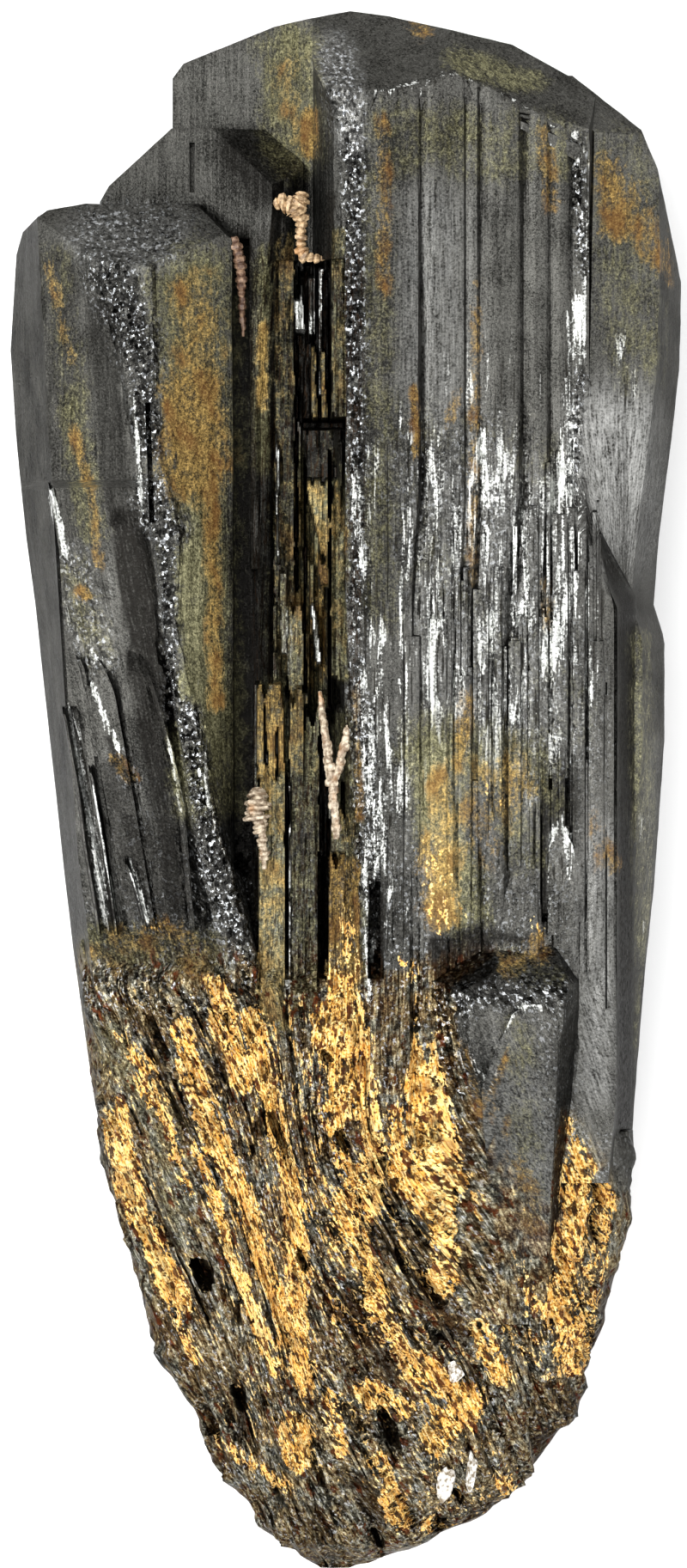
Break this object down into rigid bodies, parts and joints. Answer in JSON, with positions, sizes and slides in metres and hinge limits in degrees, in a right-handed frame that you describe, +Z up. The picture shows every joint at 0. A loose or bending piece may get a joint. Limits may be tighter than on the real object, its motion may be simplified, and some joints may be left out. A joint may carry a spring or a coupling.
{
  "type": "tantalite specimen",
  "caption": "Group of black prismatic tantalite crystals lying on its flat back, with ribbed faces, stained clefts and an orange-crusted fibrous root",
  "frame": {"origin": "middle of the specimen's footprint, on the surface that its flat back rests on", "axes": "+X across the crystals to the right, +Y along them to their ends, +Z up, out of the front of the specimen"},
  "size_m": [0.031, 0.0721, 0.02],
  "materials": {
    "tantalite": "submetallic black with ochre stain and crust",
    "mica": "pearly",
    "albite": "vitreous white"
  },
  "bodies": {
    "root": {"tantalite_crystals": "tantalite", "mica_stack_upper": "mica", "mica_vein_left": "mica", "mica_stack_knotted": "mica", "mica_stack_forked": "mica", "albite_grain_upper": "albite", "albite_grain_lower": "albite", "albite_grain_side": "albite"}
  },
  "joints": []
}
